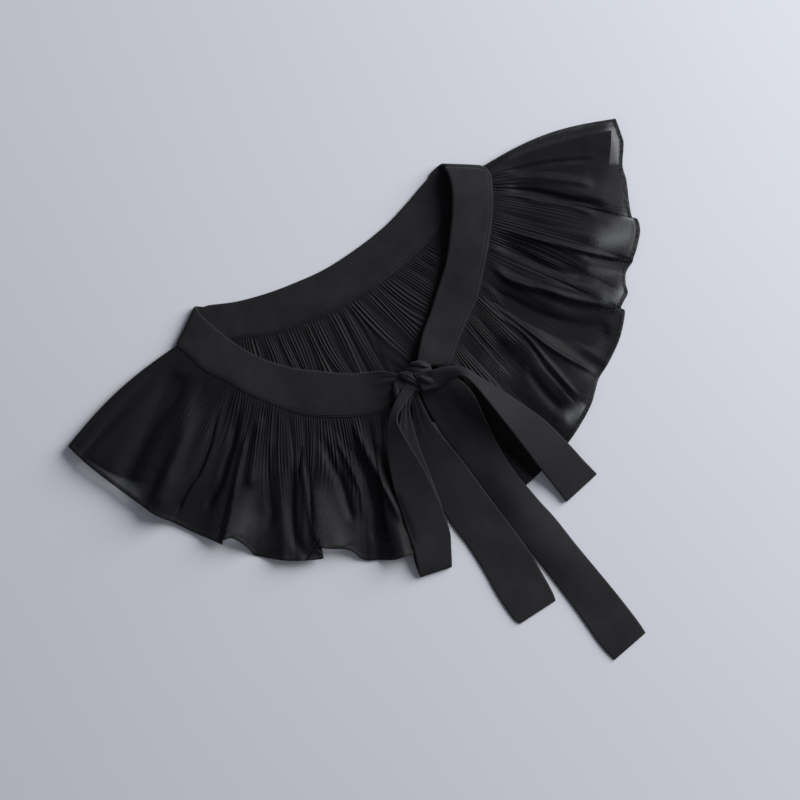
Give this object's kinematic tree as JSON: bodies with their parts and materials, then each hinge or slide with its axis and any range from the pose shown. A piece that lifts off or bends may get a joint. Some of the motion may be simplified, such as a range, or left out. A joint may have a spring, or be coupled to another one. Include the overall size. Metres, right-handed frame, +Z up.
{
  "type": "tie-neck ruffle collar",
  "caption": "Detachable black collar laid flat: a folded neckband, one deep gathered chiffon ruffle, and ties in a bow.",
  "frame": {"origin": "centre of the footprint on the surface that the collar lies on", "axes": "+X from shoulder to shoulder, towards the longer tail's side; +Y towards the nape; +Z up from the surface"},
  "size_m": [0.3946, 0.3211, 0.0169],
  "materials": {
    "band_cloth": "black matt crepe, folded double and pressed",
    "tie_cloth": "black matt crepe, soft, folded double",
    "chiffon": "black sheer chiffon, gathered and crinkled, rolled hem"
  },
  "bodies": {
    "root": {"band_back": "band_cloth", "band_left": "band_cloth", "band_right": "band_cloth", "ruffle_back": "chiffon", "ruffle_left": "chiffon", "ruffle_right": "chiffon", "knot": "tie_cloth", "loop_left": "tie_cloth", "loop_right": "tie_cloth", "tail_middle": "tie_cloth", "tail_long": "tie_cloth"}
  },
  "joints": []
}
